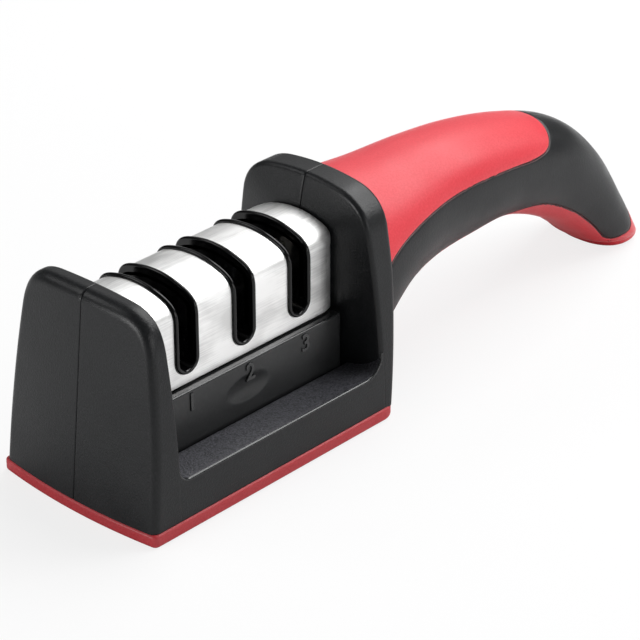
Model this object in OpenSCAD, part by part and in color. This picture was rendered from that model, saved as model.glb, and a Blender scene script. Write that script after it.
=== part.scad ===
/* [Base] */
// Length of the whole sharpener, from the front of its base to its tail
overall_l = 195; // [180:1:215]
// Width of the base pad, the widest piece
base_w = 49; // [44:1:54]
// Thickness of the rubber base pad
pad_t = 3.2; // [2.4:0.1:4]
// How far the front bows forward at its middle
front_bow = 1.8; // [1:0.1:3]
// Corner radius of the base pad
pad_corner_r = 2; // [1.5:0.1:5]
// How far the base pad stands proud of the housing
pad_proud = 0.5; // [0.2:0.1:0.8]
// Thickness of the floor plate
plate_t = 2; // [1.6:0.1:2.4]
// Gap between the floor plate and the housing walls
plate_gap = 0.2; // [0.1:0.05:0.4]

/* [Head] */
// Length of the head, from the corners of its front to the back of the rear cheek
head_l = 80; // [78:0.5:86]
// Height of the front cheek
front_h = 53; // [50:0.5:56]
// Height of the rear cheek
rear_h = 56.3; // [54:0.5:60]
// Length of the front cheek at its foot
front_cheek_l = 9; // [8.5:0.1:10]
// Length of the rear cheek at its middle
rear_cheek_l = 9.3; // [9:0.1:11]
// How far the rear cheek's face draws back from its middle to its sides
rear_bow = 2.1; // [1:0.1:2.6]
// How far the front face leans back over its height
front_lean = 5.3; // [3:0.1:6.5]
// Radius of the front cheek's top edge
front_edge_r = 2.6; // [1.5:0.1:3]
// How far each side draws in between the base and the cheek shoulders
side_draw = 3.8; // [2:0.1:5]
// Width of a cheek's rounded shoulder
shoulder_w = 9.5; // [6:0.1:12]
// Height of a cheek's rounded shoulder
shoulder_h = 9.8; // [6:0.1:12]
// Wall thickness of the housing
wall_t = 2.2; // [1.8:0.1:2.4]
// Height of the low side walls between the cheeks
apron_h = 12.6; // [11:0.1:14]
// Radius in the lower corners of the side openings
apron_r = 8; // [5:0.1:10]
// Height of the ledges where they meet the pocket
ledge_h = 12.7; // [12:0.1:15]
// Height of the pocket floor under the cartridge
pocket_h = 8; // [7.9:0.1:8.6]

/* [Cartridge] */
// Width of the cartridge frame
frame_w = 27.6; // [26:0.1:30]
// Height of the top of the cartridge frame above the table
frame_top = 26.3; // [25:0.1:28]
// Wall thickness of the cartridge frame
frame_wall = 2; // [1.5:0.1:2.5]
// Running gap between the cartridge and the housing
slide_gap = 0.3; // [0.25:0.05:0.35]
// Thickness of the cartridge floor
cart_floor_t = 1.8; // [1.5:0.1:2.2]
// Length of the rim at each end that carries the guide block
rim_w = 3.6; // [3.4:0.1:4]
// Width of the steel cover
cover_w = 23.5; // [22:0.1:25]
// How far the steel cover stops short of the cartridge's rear end
cover_rear_gap = 1.1; // [0.8:0.1:2]
// Height of the steel cover's top above the table
cover_top = 48.8; // [48:0.1:51]
// Height of the steel cover's lower edge above the table
cover_foot = 26.6; // [26.4:0.1:28]
// Width of the cover's rounded shoulder
cover_shoulder_w = 9.5; // [6:0.1:10]
// Height of the cover's rounded shoulder
cover_shoulder_h = 6.5; // [5:0.1:8]
// Thickness of the cover's sheet steel
sheet_t = 0.8; // [0.6:0.05:1]
// Gap between the cover and the guide block
sheet_gap = 0.1; // [0.05:0.05:0.2]
// Wall thickness of the guide block
guide_wall = 1.8; // [1.4:0.1:2.2]

/* [Slots] */
// Place of the first slot as a share of the cover's length
first_share = 0.2275; // [0.21:0.0005:0.24]
// Distance between two slots as a share of the cover's length
pitch_share = 0.295; // [0.28:0.005:0.3]
// Clear width of a slot
slot_w = 4.9; // [4.5:0.1:5.2]
// Thickness of the lip round a slot
lip_t = 1.1; // [0.9:0.05:1.2]
// How far the lips stand out of the cover
lip_proud = 0.7; // [0.3:0.1:1]
// Height of the slots' lowest point above the table
slot_foot = 30.4; // [29.8:0.1:32]

/* [Abrasives] */
// Height at which two abrasives cross
cross_h = 35.5; // [34:0.1:37]
// Diameter of the diamond and ceramic rods
rod_d = 3; // [2.4:0.1:3.2]
// Length of a rod
rod_l = 24; // [20:0.5:25]
// Gap between two crossing abrasives
cross_gap = 0.4; // [0.3:0.05:0.8]
// Width of a carbide blade
blade_w = 3.4; // [3:0.1:3.8]
// Thickness of a carbide blade
blade_t = 1.6; // [1.2:0.1:2]
// Length of a carbide blade
blade_l = 20; // [18:0.5:22]
// Length of an abrasive holder as a share of the distance between two slots
holder_share = 0.7; // [0.66:0.01:0.74]
// Wall left round the foot of an abrasive in its holder
holder_wall = 0.75; // [0.6:0.05:1]
// Width of an abrasive holder
holder_w = 12.4; // [11:0.1:14]
// Height of the top of an abrasive holder above the table
holder_top = 28.2; // [27:0.1:29]
// Gap around an abrasive in its holder
grip_fit = 0.05; // [0.02:0.01:0.1]
// Width of the middle window in the slot walls
window_w = 9.6; // [9:0.1:12]

/* [Handle] */
// Height of the handle's top where it leaves the rear cheek
handle_h = 54; // [52:0.5:55]
// Width of the handle where it leaves the rear cheek
handle_w = 40.8; // [38:0.2:42]
// Fullness of the handle's section, 2 for an ellipse
section_power = 2.3; // [2:0.1:3]
// Wall thickness of the handle shells under the grips
shell_t = 1.9; // [1.6:0.1:2.4]
// Thickness of the soft grips
grip_t = 1.5; // [1:0.1:2]
// Gap under the soft grips
grip_gap = 0.05; // [0.03:0.01:0.1]
// How far the foot stands proud of the tail
foot_proud = 0.35; // [0.2:0.05:0.6]
// Edge radius of the foot
foot_r = 1.8; // [1.2:0.1:2.4]

/* [Screws] */
// Shank diameter of the housing screws
screw_d = 2.6; // [2.2:0.1:2.8]
// Head diameter of the housing screws
screw_head_d = 5; // [4.6:0.1:5.2]
// Head height of the housing screws
screw_head_t = 1.8; // [1.6:0.1:2]
// How deep a housing screw reaches into the far boss
screw_bite = 7; // [5:0.5:8]
// Shank diameter of the small screws
small_d = 2; // [1.8:0.1:2.2]
// Head diameter of the small screws
small_head_d = 3.8; // [3.4:0.1:4]
// Head height of the small screws
small_head_t = 1.2; // [1:0.1:1.3]
// How deep a small screw reaches into its boss
small_bite = 5; // [4:0.5:5.5]
// Gap around a screw
screw_gap = 0.1; // [0.05:0.05:0.2]

/* [Hidden] */

// How far every cutting shape runs past the piece that it cuts
overrun = 1;

// Places along the sharpener, from the front corners of the base
tail_x = overall_l - front_bow;
mid_x = (tail_x - front_bow) / 2;
rear_face_x = head_l - rear_cheek_l;
rear_side_x = rear_face_x + rear_bow;

// Half widths of the housing
body_hw = base_w / 2 - pad_proud;
pocket_hw = frame_w / 2 + slide_gap;
shoulder_z = front_h - shoulder_h;
curve_steps = 8;

// Half width of the housing's side at a height above the table
function side_hw(z) = body_hw - side_draw * pow(z / shoulder_z, 2);

function spread(a, b, n) = [for (i = [0:n]) a + (b - a) * i / n];
function flipped(list) = [for (i = [len(list) - 1:-1:0]) list[i]];

// Half front view of a cheek of height h with its walls moved in by d, from the height z0 up
function cheek_view(h, d, z0 = pad_t) =
    let (z1 = h - shoulder_h, y1 = side_hw(z1), cy = y1 - shoulder_w)
    concat([[0, z0], [side_hw(z0) - d, z0]],
           [for (z = spread(pad_t, shoulder_z, curve_steps)) if (z > z0 && z < z1) [side_hw(z) - d, z]],
           [for (a = spread(0, 90, curve_steps))
               [cy + (shoulder_w - d) * cos(a), z1 + (shoulder_h - d) * sin(a)]],
           [[0, h - d]]);

// A half front view carried along the sharpener from x1 to x2
module along(x1, x2, view)
    translate([x1, 0, 0]) rotate([90, 0, 90]) linear_extrude(x2 - x1) polygon(view);

// A side view carried across the half width
module across(view)
    translate([0, base_w / 2, 0]) rotate([90, 0, 0]) linear_extrude(base_w / 2) polygon(view);

// Radius of an arc with a given rise over a given half chord
function arc_r(half_chord, rise) = (half_chord * half_chord + rise * rise) / (2 * rise);

// The leaning, bowed front, moved in by d
front_r = arc_r(base_w / 2, front_bow);
lean_angle = atan(front_lean / front_h);
module front_bound(d)
    translate([-front_bow + front_r, 0, 0]) rotate([0, lean_angle, 0])
        translate([0, 0, -rear_h / 2]) cylinder(h = 2 * rear_h, r = front_r * cos(lean_angle) - d, $fn = 96);

// The bowed face of the rear cheek, moved in by d
rear_r = arc_r(side_hw(shoulder_z), rear_bow);
module rear_bound(d)
    translate([rear_face_x + rear_r, 0, -overrun])
        cylinder(h = rear_h + 2 * overrun, r = rear_r - d, $fn = 96);

// Side view of the front cheek with its rounded top edge
front_top_x = front_lean - front_bow + front_edge_r;
front_side_view = concat(
    [[-front_bow - overrun, 0], [front_cheek_l, 0], [front_cheek_l, front_h]],
    [for (a = spread(90, 180 - lean_angle, curve_steps))
        [front_top_x + front_edge_r * cos(a), front_h - front_edge_r + front_edge_r * sin(a)]],
    [[-front_bow - overrun, front_h - front_edge_r - front_lean]]);

module front_cheek_half() {
    difference() {
        intersection() {
            along(-front_bow - overrun, front_cheek_l, cheek_view(front_h, 0));
            front_bound(0);
            across(front_side_view);
        }
        intersection() {
            along(-front_bow, front_cheek_l - wall_t, cheek_view(front_h - shoulder_h, wall_t, pad_t - overrun));
            front_bound(wall_t);
        }
    }
}

module rear_cheek_half() {
    difference() {
        intersection() {
            along(rear_face_x - overrun, head_l, cheek_view(rear_h, 0));
            rear_bound(0);
        }
        intersection() {
            along(rear_face_x, head_l - wall_t, cheek_view(rear_h, wall_t, pad_t - overrun));
            rear_bound(wall_t);
        }
    }
}

// Side view of the walls between the cheeks, with its round lower corners
open_x1 = front_cheek_l;
open_x2 = rear_side_x;
wall_view = concat(
    [[open_x1 - wall_t, pad_t], [open_x2 + wall_t, pad_t], [open_x2 + wall_t, shoulder_z / 2], [open_x2, shoulder_z / 2]],
    [for (a = spread(0, -90, curve_steps))
        [open_x2 - apron_r + apron_r * cos(a), apron_h + apron_r + apron_r * sin(a)]],
    [for (a = spread(-90, -180, curve_steps))
        [open_x1 + apron_r + apron_r * cos(a), apron_h + apron_r + apron_r * sin(a)]],
    [[open_x1, shoulder_z / 2], [open_x1 - wall_t, shoulder_z / 2]]);

module side_wall_half() {
    difference() {
        intersection() {
            along(open_x1 - wall_t, open_x2 + wall_t, cheek_view(rear_h, 0));
            across(wall_view);
        }
        along(open_x1 - wall_t - overrun, open_x2 + wall_t + overrun, cheek_view(rear_h, wall_t, pad_t - overrun));
    }
}

// Half front view of the ledge and the pocket that the cartridge stands in
ledge_out = side_hw(apron_h) - wall_t / 2;
pocket_view = [[0, pocket_h], [pocket_hw, pocket_h], [pocket_hw, ledge_h], [ledge_out, apron_h],
               [ledge_out, apron_h - wall_t], [pocket_hw + wall_t, ledge_h - 1.5 * wall_t],
               [pocket_hw + wall_t, pocket_h - wall_t], [0, pocket_h - wall_t]];

module pocket_half() {
    along(front_cheek_l - wall_t, rear_face_x + wall_t, pocket_view);
}

// Bosses for the screws of the floor plate
boss_wall = 1.8;
base_boss_d = small_d + 2 * screw_gap + 2 * boss_wall;
base_boss_share = 0.6;
base_boss_y = body_hw * base_boss_share;
base_boss_x = [front_cheek_l / 2, head_l - wall_t - rear_cheek_l / 4];
plate_top = pad_t + plate_t;
base_boss_top = plate_top + small_bite + wall_t;

// The seat that the floor plate lies in
plate_x1 = wall_t + plate_gap;
plate_x2 = head_l - wall_t - plate_gap;
plate_hw = side_hw(pad_t) - wall_t - plate_gap;
module plate_seat_half()
    translate([plate_x1 - plate_gap, -overrun, pad_t - overrun])
        cube([plate_x2 - plate_x1 + 2 * plate_gap, plate_hw + plate_gap + overrun, plate_t + overrun]);

module base_bosses_half() {
    for (x = base_boss_x)
        translate([x, base_boss_y, plate_top])
            cylinder(h = base_boss_top - plate_top, d = base_boss_d, $fn = 32);
}

module base_pilots_half() {
    for (x = base_boss_x)
        translate([x, base_boss_y, plate_top - overrun])
            cylinder(h = small_bite + screw_gap + overrun, d = small_d + 2 * screw_gap, $fn = 32);
}

// The handle follows two rails, one along its top and one along its underside.
// Shares of the handle's length and of its height, from the rear cheek to the foot
top_rail_share = [[0, 1], [0.153, 0.966], [0.301, 0.957], [0.452, 0.922], [0.598, 0.854],
                  [0.738, 0.745], [0.843, 0.55], [0.924, 0.287], [0.977, 0.1]];
low_rail_share = [[-0.012, 0.2], [0.106, 0.368], [0.223, 0.417], [0.362, 0.43], [0.491, 0.43],
                  [0.603, 0.36], [0.706, 0.252], [0.787, 0.131], [0.83, 0.055]];
half_width_share = [1, 0.843, 0.716, 0.657, 0.62, 0.605, 0.603, 0.603, 0.588, 0.53];
// Narrowing of the section towards its top, at the cheek and a third of the way along
narrowing_share = [[0, 0.2], [0.3, 0.03], [1, 0]];
// Length of the foot's sole as a share of the handle's length
sole_share = 0.145;

root_in = wall_t / 2;
root_x = head_l - root_in;
handle_l = tail_x - foot_proud - root_x;
top_rail = concat([for (q = top_rail_share) [root_x + q[0] * handle_l, q[1] * handle_h]],
                  [[root_x + handle_l, foot_r]]);
low_rail = concat([for (q = low_rail_share) [root_x + q[0] * handle_l, q[1] * handle_h]],
                  [[root_x + (1 - sole_share) * handle_l, foot_r]]);

// A smooth curve through the points p, at the share s of the way along
function through(p, s) =
    let (n = len(p) - 1, u = min(s * n, n - 0.000001), i = floor(u), t = u - i,
         a = p[max(i - 1, 0)], b = p[i], c = p[i + 1], d = p[min(i + 2, n)])
    (2 * b + (c - a) * t + (2 * a - 5 * b + 4 * c - d) * t * t + (3 * b - a - 3 * c + d) * t * t * t) / 2;

function half_width(s) = through(half_width_share, s) * handle_w / 2;
function power(v) = sign(v) * pow(abs(v), 2 / section_power);

// A point of the handle's surface at share s and angle a, moved in by d
function skin(s, a, d) =
    let (t = through(top_rail, s), b = through(low_rail, s), m = (t + b) / 2, h = (t - b) / 2,
         k = 1 - d / norm(h), up = power(sin(a)), y = power(cos(a)) * (half_width(s) - d))
    [m[0] + h[0] * k * up, y * (1 - lookup(s, narrowing_share) * up), m[1] + h[1] * k * up];

// Edges of the two soft grips as angles round the section, against the share along the handle
top_edge = [[0, 4], [0.025, 6], [0.07, 10], [0.14, 13], [0.25, 15.3], [0.39, 16.5], [0.435, 18.5],
            [0.46, 24], [0.475, 32], [0.484, 42], [1, 42]];
under_edge = [[0, -33], [0.14, -33], [0.2, -38], [0.26, -43], [0.32, -46], [0.38, -46], [0.44, -49], [0.47, -46],
              [0.5, -38.5], [0.53, -34.5], [1, -35]];
// Angle between the edge of a grip and the edge of its seat
edge_turn = 0.3;

// Shares along the handle where the grips and the shells end
top_grip_end = 0.484;
under_grip_start = 0.14;
corner_share = 0.44;
foot_share = 0.87;
step_share = 0.002;
end_wall_share = 0.025;

rows_root = spread(0, under_grip_start, 4);
corner_steps = 5;
rows_mid = concat(spread(under_grip_start + step_share, corner_share, 9),
                  [for (i = [1:corner_steps]) corner_share + (top_grip_end - corner_share) * i / corner_steps]);
rows_tail = spread(top_grip_end + step_share, foot_share - end_wall_share, 11);
rows_end = [foot_share - end_wall_share + step_share, foot_share];

top_steps = 8;
side_steps = 7;
under_steps = 6;

function top_angles(s) = spread(90, lookup(s, top_edge) + edge_turn, top_steps);
function side_angles(s) = spread(lookup(s, top_edge) - edge_turn, lookup(s, under_edge) + edge_turn, side_steps);
function under_angles(s) = spread(lookup(s, under_edge) - edge_turn, -90, under_steps);

// One closed ring of a half shell: its outside with the seats of the grips, then its inside
function half_ring(s, top_d, under_d, closed) =
    let (round = concat(top_angles(s), side_angles(s), under_angles(s)))
    concat([for (a = top_angles(s)) skin(s, a, top_d)],
           [for (a = side_angles(s)) skin(s, a, 0)],
           [for (a = under_angles(s)) skin(s, a, under_d)],
           [for (a = flipped(round)) let (p = skin(s, a, grip_t + shell_t)) [p[0], closed ? 0 : p[1], p[2]]]);

half_rings = concat(
    [for (s = rows_root) half_ring(s, grip_t, 0, false)],
    [for (s = rows_mid) half_ring(s, grip_t, grip_t, false)],
    [for (s = rows_tail) half_ring(s, 0, grip_t, false)],
    [for (s = rows_end) half_ring(s, 0, grip_t, true)]);

// The end face of a ring that starts at point k: a strip between its outside and inside, or one face
function end_face(n, k, strip) = strip
    ? [for (j = [0:n / 2 - 2]) [k + j, k + j + 1, k + n - 2 - j, k + n - 1 - j]]
    : [[for (j = [0:n - 1]) k + j]];

// A closed body from rings that all have the same number of points
module body_of(rings, strip = true) {
    n = len(rings[0]);
    last = len(rings) - 1;
    polyhedron(
        points = [for (r = rings) for (p = r) p],
        faces = concat(
            [for (f = end_face(n, 0, strip)) flipped(f)],
            [for (i = [0:last - 1]) for (j = [0:n - 1]) let (k = (j + 1) % n)
                each [[i * n + j, i * n + k, (i + 1) * n + k], [i * n + j, (i + 1) * n + k, (i + 1) * n + j]]],
            end_face(n, last * n, strip)),
        convexity = 6);
}

// Places of the housing screws as shares along the handle
housing_screw_share = [0.15, 0.4, 0.66];
boss_d = screw_d + 2 * screw_gap + 2 * boss_wall;
head_boss_d = screw_head_d + 2 * screw_gap + 2 * boss_wall;
function screw_x(s) = (through(top_rail, s)[0] + through(low_rail, s)[0]) / 2;
function screw_z(s) = (through(top_rail, s)[1] + through(low_rail, s)[1]) / 2;
function seat_y(s) = half_width(s) - grip_t - shell_t;

// A cylinder across the handle from y1 to y2
module cross_pin(s, d, y1, y2)
    translate([screw_x(s), y2, screw_z(s)]) rotate([90, 0, 0]) cylinder(h = y2 - y1, d = d, $fn = 32);

module head_half() {
    difference() {
        union() {
            front_cheek_half();
            rear_cheek_half();
            side_wall_half();
            pocket_half();
            base_bosses_half();
        }
        plate_seat_half();
        base_pilots_half();
    }
}

module place() translate([-mid_x, 0, 0]) children();

module housing_left() color("#2a2c2e") place() {
    difference() {
        union() {
            head_half();
            body_of(half_rings);
            for (s = housing_screw_share) {
                cross_pin(s, boss_d, 0, seat_y(s) + shell_t / 2);
                cross_pin(s, head_boss_d, seat_y(s) - boss_wall, seat_y(s) + shell_t / 2);
            }
        }
        for (s = housing_screw_share) {
            cross_pin(s, screw_d + 2 * screw_gap, -overrun, seat_y(s) + overrun);
            cross_pin(s, screw_head_d + 2 * screw_gap, seat_y(s), half_width(s) + overrun);
        }
    }
}

module housing_right() color("#2a2c2e") place() mirror([0, 1, 0]) {
    difference() {
        union() {
            head_half();
            body_of(half_rings);
            for (s = housing_screw_share)
                cross_pin(s, boss_d, 0, seat_y(s) + shell_t / 2);
        }
        for (s = housing_screw_share)
            cross_pin(s, screw_d + 2 * screw_gap, -overrun, screw_bite + screw_gap);
    }
}

module housing_screws() color("#b8babc") place() {
    for (s = housing_screw_share) {
        cross_pin(s, screw_d, -screw_bite, seat_y(s) + screw_head_t / 2);
        cross_pin(s, screw_head_d, seat_y(s), seat_y(s) + screw_head_t);
    }
}

// Plan of the base: a bowed front and four rounded corners
function base_plan(w, x2, bow, r) =
    let (hw = w / 2, big = arc_r(hw, bow), big_x = big - bow,
         corner_x = big_x - sqrt(pow(big - r, 2) - pow(hw - r, 2)), turn = atan2(hw - r, corner_x - big_x))
    concat(
        [for (a = spread(-90, 0, curve_steps)) [x2 - r + r * cos(a), -hw + r + r * sin(a)]],
        [for (a = spread(0, 90, curve_steps)) [x2 - r + r * cos(a), hw - r + r * sin(a)]],
        [for (a = spread(90, turn, curve_steps)) [corner_x + r * cos(a), hw - r + r * sin(a)]],
        [for (i = [1:2 * curve_steps - 1]) let (a = turn + (360 - 2 * turn) * i / (2 * curve_steps))
            [big_x + big * cos(a), big * sin(a)]],
        [for (a = spread(360 - turn, 270, curve_steps)) [corner_x + r * cos(a), -hw + r + r * sin(a)]]);

module base_pad() color("#b4414a") place()
    linear_extrude(pad_t) polygon(base_plan(base_w, head_l, front_bow, pad_corner_r));

module floor_plate() color("#35373a") place() {
    difference() {
        translate([plate_x1, -plate_hw, pad_t]) cube([plate_x2 - plate_x1, 2 * plate_hw, plate_t]);
        for (x = base_boss_x, side = [-1, 1]) translate([x, side * base_boss_y, pad_t - overrun]) {
            cylinder(h = plate_t + 2 * overrun, d = small_d + 2 * screw_gap, $fn = 32);
            cylinder(h = small_head_t + screw_gap + overrun, d = small_head_d + 2 * screw_gap, $fn = 32);
        }
    }
}

// A small screw whose head stands at z = 0 and whose shank points up
module small_screw(l) {
    cylinder(h = small_head_t, d = small_head_d, $fn = 32);
    cylinder(h = l, d = small_d, $fn = 32);
}

module base_screws() color("#b8babc") place()
    for (x = base_boss_x, side = [-1, 1])
        translate([x, side * base_boss_y, pad_t + screw_gap]) small_screw(plate_t - screw_gap + small_bite);

// The soft grips use the rows and angles of their seats
function grip_ring(s, angles) = concat(
    [for (a = angles) skin(s, a, 0)],
    [for (a = flipped(angles)) skin(s, a, grip_t - grip_gap)]);
function over_top(list) = concat([for (i = [len(list) - 1:-1:1]) 180 - list[i]], list);
function under_keel(list) = concat(list, [for (i = [len(list) - 2:-1:0]) -180 - list[i]]);

top_rows = concat(rows_root, rows_mid);
module top_grip() color("#ee6469") place() {
    difference() {
        body_of([for (s = top_rows) grip_ring(s, over_top(top_angles(s)))]);
        translate([root_x - handle_w, -handle_w, 0]) cube([handle_w + root_in + grip_gap, 2 * handle_w, rear_h]);
    }
}

foot_turn = 24;
sole_step = 90 / 4;
foot_rows = spread(foot_share + step_share, 1, 6);
function foot_ring(s, d) = [for (i = [0:foot_turn - 1]) skin(s, -360 * i / foot_turn, d)];
// The last ring lies level, and the sole curls in under it
function sole_ring(a) = [for (p = foot_ring(1, foot_r * (1 - cos(a)) - foot_proud)) [p[0], p[1], foot_r * (1 - sin(a))]];

under_rows = concat(rows_mid, rows_tail, rows_end);
module under_grip() color("#c4484f") place()
    body_of([for (s = under_rows) grip_ring(s, under_keel(under_angles(s)))]);

module tail_foot() color("#c4484f") place()
    body_of(concat([for (s = foot_rows) foot_ring(s, -foot_proud)],
                   [for (a = [sole_step:sole_step:90]) sole_ring(a)]), false);

// The cartridge stands on the pocket floor between the cheeks
cart_x1 = front_cheek_l + slide_gap;
cart_x2 = rear_face_x - slide_gap;
cart_z = pocket_h + slide_gap;
floor_top = cart_z + cart_floor_t;

module cartridge_frame() color("#303235") place() {
    difference() {
        translate([cart_x1, -frame_w / 2, floor_top]) cube([cart_x2 - cart_x1, frame_w, frame_top - floor_top]);
        translate([cart_x1 + frame_wall, -frame_w / 2 + frame_wall, floor_top - overrun])
            cube([cart_x2 - cart_x1 - 2 * frame_wall, frame_w - 2 * frame_wall,
                  frame_top - frame_wall - floor_top + overrun]);
        translate([cart_x1 + rim_w, -guide_hw, floor_top])
            cube([cover_l - 2 * rim_w, 2 * guide_hw, frame_top]);
    }
    difference() {
        cart_corners() translate([0, 0, floor_top]) cylinder(h = frame_top - frame_wall - floor_top, d = cart_boss_d, $fn = 32);
        cart_corners() translate([0, 0, floor_top - overrun])
            cylinder(h = small_bite + screw_gap + overrun, d = small_d + 2 * screw_gap, $fn = 32);
    }
}

cart_boss_d = small_d + 2 * screw_gap + 2 * boss_wall;
module cart_corners()
    for (x = [cart_x1 + frame_wall + cart_boss_d / 3, cart_x2 - frame_wall - cart_boss_d / 3], side = [-1, 1])
        translate([x, side * (frame_w / 2 - frame_wall - cart_boss_d / 3), 0]) children();

module cartridge_floor() color("#3a3c3f") place() {
    difference() {
        translate([cart_x1, -frame_w / 2, cart_z]) cube([cart_x2 - cart_x1, frame_w, cart_floor_t]);
        cart_corners() translate([0, 0, cart_z - overrun]) {
            cylinder(h = cart_floor_t + 2 * overrun, d = small_d + 2 * screw_gap, $fn = 32);
            cylinder(h = small_head_t + screw_gap + overrun, d = small_head_d + 2 * screw_gap, $fn = 32);
        }
    }
}

module cartridge_screws() color("#b8babc") place()
    cart_corners() translate([0, 0, cart_z + screw_gap]) small_screw(cart_floor_t - screw_gap + small_bite);

// Half front view of the arch of the cover, moved in by d, down to the height z
function arch_view(d, z) =
    let (hw = cover_w / 2, cy = hw - cover_shoulder_w, cz = cover_top - cover_shoulder_h)
    concat([[hw - d, z]],
           [for (a = spread(0, 90, curve_steps))
               [cy + (cover_shoulder_w - d) * cos(a), cz + (cover_shoulder_h - d) * sin(a)]],
           [for (a = spread(90, 0, curve_steps))
               [-cy - (cover_shoulder_w - d) * cos(a), cz + (cover_shoulder_h - d) * sin(a)]],
           [[-hw + d, z]]);

cover_x1 = cart_x1;
cover_x2 = cart_x2 - cover_rear_gap;
cover_l = cover_x2 - cover_x1;
slot_pitch = cover_l * pitch_share;
holder_l = slot_pitch * holder_share;
slot_first = cover_l * first_share;
function slot_x(i) = cover_x1 + slot_first + i * slot_pitch;

// A slot with a round lower end, open above, from the half width hw on both sides
module slot_shape(x, w, z, hw)
    translate([x, hw, 0]) rotate([90, 0, 0]) linear_extrude(2 * hw) {
        translate([0, z + w / 2]) circle(d = w, $fn = 48);
        translate([-w / 2, z + w / 2]) square([w, cover_top]);
    }

sleeve_w = slot_w + 2 * lip_t;
module steel_cover() color("#e4e4e2") place() {
    difference() {
        along(cover_x1, cover_x2, arch_view(0, cover_foot));
        along(cover_x1 + sheet_t, cover_x2 - sheet_t, arch_view(sheet_t, cover_foot - overrun));
        for (i = [0:2])
            slot_shape(slot_x(i), sleeve_w + 2 * sheet_gap, slot_foot - lip_t - sheet_gap, cover_w);
    }
}

guide_in = sheet_t + sheet_gap;
// Half width inside the guide block, and of the opening in the frame under it
guide_hw = cover_w / 2 - guide_in - guide_wall;
module guide_block() color("#1c1d1f") place() {
    difference() {
        union() {
            difference() {
                along(cover_x1 + guide_in, cover_x2 - guide_in, arch_view(guide_in, frame_top));
                along(cover_x1 + guide_in + guide_wall, cover_x2 - guide_in - guide_wall,
                      arch_view(guide_in + guide_wall, frame_top - overrun));
            }
            for (i = [0:2]) intersection() {
                along(cover_x1, cover_x2, arch_view(-lip_proud, frame_top));
                slot_shape(slot_x(i), sleeve_w, slot_foot - lip_t, cover_w);
            }
        }
        for (i = [0:2]) {
            slot_shape(slot_x(i), slot_w, slot_foot, cover_w);
            translate([slot_x(i) - sleeve_w, -window_w / 2, frame_top - overrun])
                cube([2 * sleeve_w, window_w, cover_top - cover_shoulder_h / 2 - frame_top]);
        }
    }
}

// A bar that leans along the sharpener through the crossing point of slot i
module leaning(i, lean, y) translate([slot_x(i), y, cross_h]) rotate([0, lean, 0]) children();

below_share = 0.68;
rod_y = (rod_d + cross_gap) / 2;
rod_angle = asin(((holder_l - rod_d) / 2 - holder_wall) / (rod_l * below_share));
module rod(i, side, more) leaning(i, side * rod_angle, side * rod_y)
    translate([0, 0, -rod_l * below_share - more]) cylinder(h = rod_l + 2 * more, d = rod_d + 2 * more, $fn = 32);

blade_y = (blade_t + cross_gap) / 2;
blade_angle = asin(((holder_l - blade_w) / 2 - holder_wall) / (blade_l * below_share));
module blade(i, side, more) leaning(i, side * blade_angle, side * blade_y)
    translate([-blade_w / 2 - more, -blade_t / 2 - more, -blade_l * below_share - more])
        cube([blade_w + 2 * more, blade_t + 2 * more, blade_l + 2 * more]);

module holder_block(i)
    translate([slot_x(i) - holder_l / 2, -holder_w / 2, floor_top])
        cube([holder_l, holder_w, holder_top - floor_top]);

module carbide_holder() color("#4a4c50") place() {
    difference() {
        holder_block(0);
        for (side = [-1, 1]) blade(0, side, grip_fit);
        for (side = [-1, 1]) clamp_screw(side) cylinder(h = small_bite + screw_gap, d = small_d + 2 * screw_gap, $fn = 32);
    }
}
module carbide_blade_front() color("#8d9094") place() blade(0, -1, 0);
module carbide_blade_rear() color("#8d9094") place() blade(0, 1, 0);

// The two screws that close the carbide holder, one on each side
module clamp_screw(side)
    translate([slot_x(0), side * holder_w / 2, (floor_top + holder_top) / 2]) rotate([side * 90, 0, 0])
        translate([0, 0, -screw_gap]) children();
module carbide_screws() color("#b8babc") place()
    for (side = [-1, 1]) clamp_screw(side) translate([0, 0, screw_gap]) {
        cylinder(h = small_bite - screw_gap, d = small_d, $fn = 32);
        translate([0, 0, -small_head_t]) cylinder(h = small_head_t, d = small_head_d, $fn = 32);
    }

module rod_holder(i) difference() {
    holder_block(i);
    for (side = [-1, 1]) rod(i, side, grip_fit);
}
module diamond_holder() color("#4a4c50") place() rod_holder(1);
module diamond_rod_front() color("#77797c") place() rod(1, -1, 0);
module diamond_rod_rear() color("#77797c") place() rod(1, 1, 0);
module ceramic_holder() color("#4a4c50") place() rod_holder(2);
module ceramic_rod_front() color("#f2efe8") place() rod(2, -1, 0);
module ceramic_rod_rear() color("#f2efe8") place() rod(2, 1, 0);

housing_left();
housing_right();
floor_plate();
base_pad();
top_grip();
under_grip();
tail_foot();
housing_screws();
base_screws();
cartridge_frame();
cartridge_floor();
guide_block();
steel_cover();
carbide_holder();
carbide_blade_front();
carbide_blade_rear();
carbide_screws();
diamond_holder();
diamond_rod_front();
diamond_rod_rear();
ceramic_holder();
ceramic_rod_front();
ceramic_rod_rear();
cartridge_screws();
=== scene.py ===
import math
import bmesh
import bpy
import numpy as np
from mathutils import Matrix, Vector


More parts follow.
